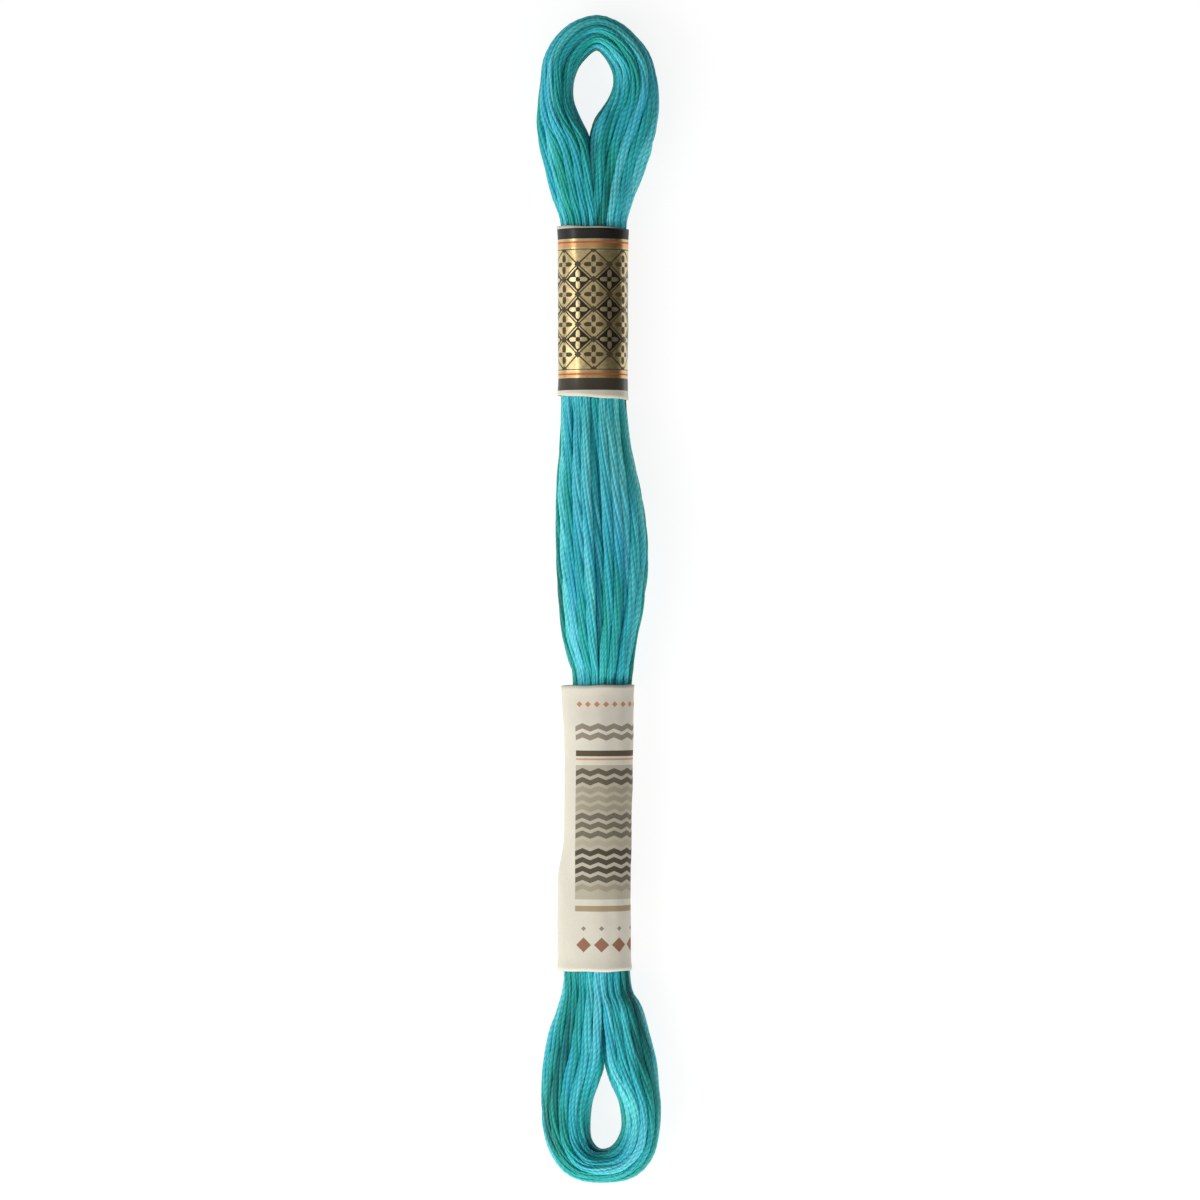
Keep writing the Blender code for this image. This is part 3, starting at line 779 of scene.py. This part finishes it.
def goldInkPaper():
    # Coated label paper, litho printed in gold bronze ink under brown and near-black. The gold flashes like
    # a dull metal where it meets the light and goes olive away from it; the dark inks are not metal.
    look = {
        "gold": "#DCC68E", "bronze": "#E2A871", "brown": "#46381F", "black": "#0F0C06",
        "copper": "#A85A2C", "umber": "#3B3427", "paper": "#DCD6C2",
        "shining": ["gold", "bronze"],
        "mottle": 0.625,             # mm of a patch of ink
        "patchy": (0.72, 1.12),      # times the gold, where it lies thin and thick
        "rough": (0.24, 0.37),       # of the gold; the other inks and the paper have 0.5
        "inked": (0.2, 23.0),        # mm from the top edge, and so are the lines' starts and ends
        "lines": [("bronze", 1.95, 2.90), ("bronze", 20.40, 21.10), ("copper", 2.10, 2.30),
                  ("copper", 20.65, 20.85), ("brown", 3.14, 3.26), ("brown", 20.04, 20.16),
                  ("black", 0.20, 1.70), ("umber", 21.30, 23.00)],
        "field": (3.2, 20.1),        # a trellis of lozenges lies between these
        "across": 4.4, "rows": 4,    # width of a lozenge in mm, and how many stand in the field
        "line": 0.035, "frame": 0.080, "knot": 0.12,     # shares of a lozenge
        "petal": 1.35, "eye": 0.34,      # mm from a flower's middle
        "notch": 0.38,       # how deep the petals are parted
    }
    material, tree, shader = newMaterial("goldInkPaper", {"Specular IOR Level": 0.25, "Coat Weight": 0.4,
                                                          "Coat Roughness": 0.28})
    label = addNode(tree, "UVMap", {"uv_map": "print"})
    split = addNode(tree, "SeparateXYZ", {}, [label]).node
    u, v = split.outputs["X"], split.outputs["Y"]
    inks = trellisOfFlowers(tree, look, u, v)
    for ink, start, end in look["lines"]:
        mask = addNode(tree, "Math", "COMPARE", [v, (start + end) / 2, (end - start) / 2])
        inks.append((ink, mask))

    start, end = look["inked"]
    inked = addNode(tree, "Math", "COMPARE", [v, (start + end) / 2, (end - start) / 2])
    grain = {"Scale": 1 / look["mottle"], "Detail": 6.0, "Roughness": 0.65}
    mottle = addNode(tree, "TexNoise", {}, {"Vector": label, **grain})
    patchy = addNode(tree, "MapRange", {}, [mottle, 0.3, 0.7, *look["patchy"]])
    gold = toLinear(look["gold"])[:3]
    colour = addNode(tree, "VectorMath", "SCALE", {"Vector": gold, "Scale": patchy})
    metal = inked
    for ink, mask in inks:
        colour = addNode(tree, "Mix", {"data_type": "RGBA"}, [mask, colour, toLinear(look[ink])])
        if ink not in look["shining"]:
            left = addNode(tree, "Math", "SUBTRACT", [1.0, mask])
            metal = addNode(tree, "Math", "MULTIPLY", [metal, left])
    colour = addNode(tree, "Mix", {"data_type": "RGBA"}, [inked, toLinear(look["paper"]), colour])
    tree.links.new(colour, shader.inputs["Base Color"])
    tree.links.new(metal, shader.inputs["Metallic"])
    rough = addNode(tree, "MapRange", {}, [mottle, 0.2, 0.8, *look["rough"]])
    rough = addNode(tree, "MapRange", {}, [metal, 0.0, 1.0, 0.5, rough])
    tree.links.new(rough, shader.inputs["Roughness"])
    return material


def creamLabelPaper():
    # Uncoated cream paper with matt ink that sinks in a little: soft, dry, no shine.
    look = {
        "cream": "#E4DECD",
        "fibre": 0.4,                # mm
        "shade": (0.95, 1.02),       # times the cream
        "printed": (-3.0, 9.5),      # mm from the front's middle, round to the underside
        # mm from the top edge to a line's start and end, its ink and how densely it covers
        "lines": [(11.2, 30.1, "#A39A7E", 0.62), (9.15, 9.95, "#4E4023", 0.95),
                  (10.25, 10.50, "#D08E5A", 0.8), (31.0, 31.8, "#A8916A", 0.9)],
        # zigzag lines: the first one's middle, and an ink for each
        "zigzags": [(5.9, ["#8F8472"] * 2),
                    (12.2, ["#5B5547"] * 2 + ["#A79D88"] * 3 + ["#6F6757"] * 3 + ["#B4AA95"]
                     + ["#3A3227"] * 3 + ["#5B5547", "#A79D88"])],
        "pitch": 1.25, "thick": 0.75,        # mm, of the zigzag lines
        "tooth": (1.1, 0.45),        # mm, a tooth's half width and its depth
        # rows of lozenges: middle, half height, pitch, ink
        "lozenges": [(2.65, 0.42, 1.25, "#C78053"), (36.5, 1.05, 2.50, "#935F3D"),
                     (34.2, 0.35, 2.50, "#8F8472")],
        "cover": 0.92,       # how densely these two cover
    }
    material, tree, shader = newMaterial("creamLabelPaper", {"Roughness": 0.72, "Specular IOR Level": 0.3})
    label = addNode(tree, "UVMap", {"uv_map": "print"})
    split = addNode(tree, "SeparateXYZ", {}, [label]).node
    u, v = split.outputs["X"], split.outputs["Y"]
    grain = {"Scale": 1 / look["fibre"], "Detail": 8.0, "Roughness": 0.7}
    fibres = addNode(tree, "TexNoise", {}, {"Vector": label, **grain})
    start, end = look["printed"]
    printed = addNode(tree, "Math", "COMPARE", [u, (start + end) / 2, (end - start) / 2])
    across = addNode(tree, "Math", "SUBTRACT", [u, start])
    inks = []
    for start, end, ink, cover in look["lines"]:
        mask = addNode(tree, "Math", "COMPARE", [v, (start + end) / 2, (end - start) / 2])
        inks.append((mask, ink, cover))
    tooth, depth = look["tooth"]
    wave = addNode(tree, "Math", "PINGPONG", [across, tooth])
    wave = addNode(tree, "Math", "MULTIPLY_ADD", [wave, depth / tooth, -depth / 2])
    wave = addNode(tree, "Math", "ADD", [v, wave])
    for first, lines in look["zigzags"]:
        for number, ink in enumerate(lines):
            middle = first + number * look["pitch"]
            mask = addNode(tree, "Math", "COMPARE", [wave, middle, look["thick"] / 2])
            inks.append((mask, ink, look["cover"]))
    for middle, half, pitch, ink in look["lozenges"]:
        sideways = addNode(tree, "Math", "ADD", [across, -pitch / 2])
        sideways = addNode(tree, "Math", "PINGPONG", [sideways, pitch / 2])
        upright = addNode(tree, "Math", "SUBTRACT", [v, middle])
        upright = addNode(tree, "Math", "ABSOLUTE", [upright])
        far = addNode(tree, "Math", "ADD", [sideways, upright])
        inks.append((addNode(tree, "Math", "LESS_THAN", [far, half]), ink, look["cover"]))
    shade = addNode(tree, "MapRange", {}, [fibres, 0.3, 0.7, *look["shade"]])
    cream = toLinear(look["cream"])[:3]
    colour = addNode(tree, "VectorMath", "SCALE", {"Vector": cream, "Scale": shade})
    for mask, ink, cover in inks:
        mask = addNode(tree, "Math", "MULTIPLY", [mask, printed])
        mask = addNode(tree, "Math", "MULTIPLY", [mask, cover])
        colour = addNode(tree, "Mix", {"data_type": "RGBA"}, [mask, colour, toLinear(ink)])
    tree.links.new(colour, shader.inputs["Base Color"])
    bump = addNode(tree, "Bump", {}, {"Strength": 0.15, "Distance": 0.03 * mm, "Height": fibres})
    tree.links.new(bump, shader.inputs["Normal"])
    return material


def plainPaper():
    # The unprinted back of the labels and their cut edges: matt, off-white, a little fibrous.
    look = {
        "white": "#EFEADB",
        "fibre": 0.4,                # mm
        "shade": (0.94, 1.02),       # times the white
    }
    material, tree, shader = newMaterial("plainPaper", {"Roughness": 0.8})
    fibres = addNode(tree, "TexNoise", {}, {"Scale": 1 / (look["fibre"] * mm), "Detail": 4.0})
    shade = addNode(tree, "MapRange", {}, [fibres, 0.3, 0.7, *look["shade"]])
    white = toLinear(look["white"])[:3]
    colour = addNode(tree, "VectorMath", "SCALE", {"Vector": white, "Scale": shade})
    tree.links.new(colour, shader.inputs["Base Color"])
    return material


turn = makeTurn()
strands = packStrands(turn)
print("packed", hank["turns"], "strands through", turn["count"], "stations")
plies, plyRoom = packPlies(turn, strands)
plyCentres = threadCentres(turn, plies)
print("packed", plies.shape[1], "plies")

flossPieces = makeFloss(turn, plyCentres, plyRoom, mercerisedCotton())
for piece in flossPieces:
    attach(piece, "root")
    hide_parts("floss_skein")
triangles = sum(2 * len(piece.data.polygons) for piece in flossPieces)
print("wound", len(flossPieces), "floss meshes,", triangles, "triangles")

inside = plainPaper()
for name, size, printed, slot in (("upper_band", upperBand, goldInkPaper(), "gold_paper"),
                                  ("lower_band", lowerBand, creamLabelPaper(), "cream_paper")):
    band, (wide, long) = makeBand(name + "_paper", size, turn, plyCentres, plyRoom, printed, inside)
    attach(band, "root")
    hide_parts(name)
    print("wrapped", name, "cut", round(wide, 2), "by", round(long, 2), "mm")

studio = {
    "lens": 150,             # mm
    "sensor": 36,
    "photoCentre": (0.14, -0.14),    # mm, the point straight below the camera
    "photoWidth": 169.5,     # mm across the photograph
    "middleHeight": 3.5,     # mm above the table where it is that wide
    "floorSide": 3.0,        # m from its middle to its edges
    "floorColour": "#808080",
    "floorGlow": 0.85,       # the table is opal acrylic, lit from below
    # softboxes: place in m, size across and upwards in m, watts
    "lights": {"keyLeft": ((-0.43, -0.24, 0.35), (0.72, 0.27), 2.1),
               "fillLow": ((0.12, -0.50, 0.18), (0.45, 0.20), 1.7)},
    # the room around: its bright side, its light there and opposite, and how fast it falls off
    "brightSide": (-0.68, -0.38, 0.63),
    "brightest": 0.68,
    "dimmest": 0.08,
    "dimFrom": -0.3,         # cosine of the angle off the bright side
    "fallOff": 1.6,
}


def makeStudio():
    scene = bpy.context.scene
    scene.view_settings.view_transform = "Standard"
    camera = addObject("camera", bpy.data.cameras.new("camera"))
    camera.data.lens = studio["lens"]
    camera.data.sensor_width = studio["sensor"]
    height = studio["photoWidth"] * studio["lens"] / studio["sensor"] + studio["middleHeight"]
    camera.location = Vector((*studio["photoCentre"], height)) * mm
    camera.data.clip_start = 0.01
    scene.camera = camera

    mesh = bpy.data.meshes.new("floor")
    side = studio["floorSide"]
    corners = [(-side, -side, 0), (side, -side, 0), (side, side, 0), (-side, side, 0)]
    mesh.from_pydata(corners, [], [(0, 1, 2, 3)])
    # opal acrylic: it glows evenly and hardly shines
    finish = {"Base Color": toLinear(studio["floorColour"]), "Roughness": 0.9,
              "Emission Color": toLinear("#FFFFFF"), "Emission Strength": studio["floorGlow"]}
    mesh.materials.append(newMaterial("opalAcrylic", finish)[0])
    addObject("floor", mesh)

    for name, (place, (wide, long), watts) in studio["lights"].items():
        light = bpy.data.lights.new(name, "AREA")
        light.shape = "RECTANGLE"
        light.size, light.size_y = wide, long
        light.energy = watts
        lamp = addObject(name, light)
        lamp.location = place
        lamp.rotation_euler = (-Vector(place)).to_track_quat("-Z", "Y").to_euler()

    world = bpy.data.worlds.new("studio")
    scene.world = world
    world.use_nodes = True
    tree = world.node_tree
    direction = addNode(tree, "TexCoord")
    towards = addNode(tree, "VectorMath", "DOT_PRODUCT", [direction, studio["brightSide"]])
    share = addNode(tree, "MapRange", {}, [towards, studio["dimFrom"], 1.0, 0.0, 1.0])
    share = addNode(tree, "Math", "POWER", [share, studio["fallOff"]])
    strength = addNode(tree, "MapRange", {}, [share, 0.0, 1.0, studio["dimmest"], studio["brightest"]])
    tree.links.new(strength, tree.nodes["Background"].inputs["Strength"])
    tree.nodes["Background"].inputs["Color"].default_value = toLinear("#FFFFFF")


makeStudio()
print("set up the camera, table and lights")
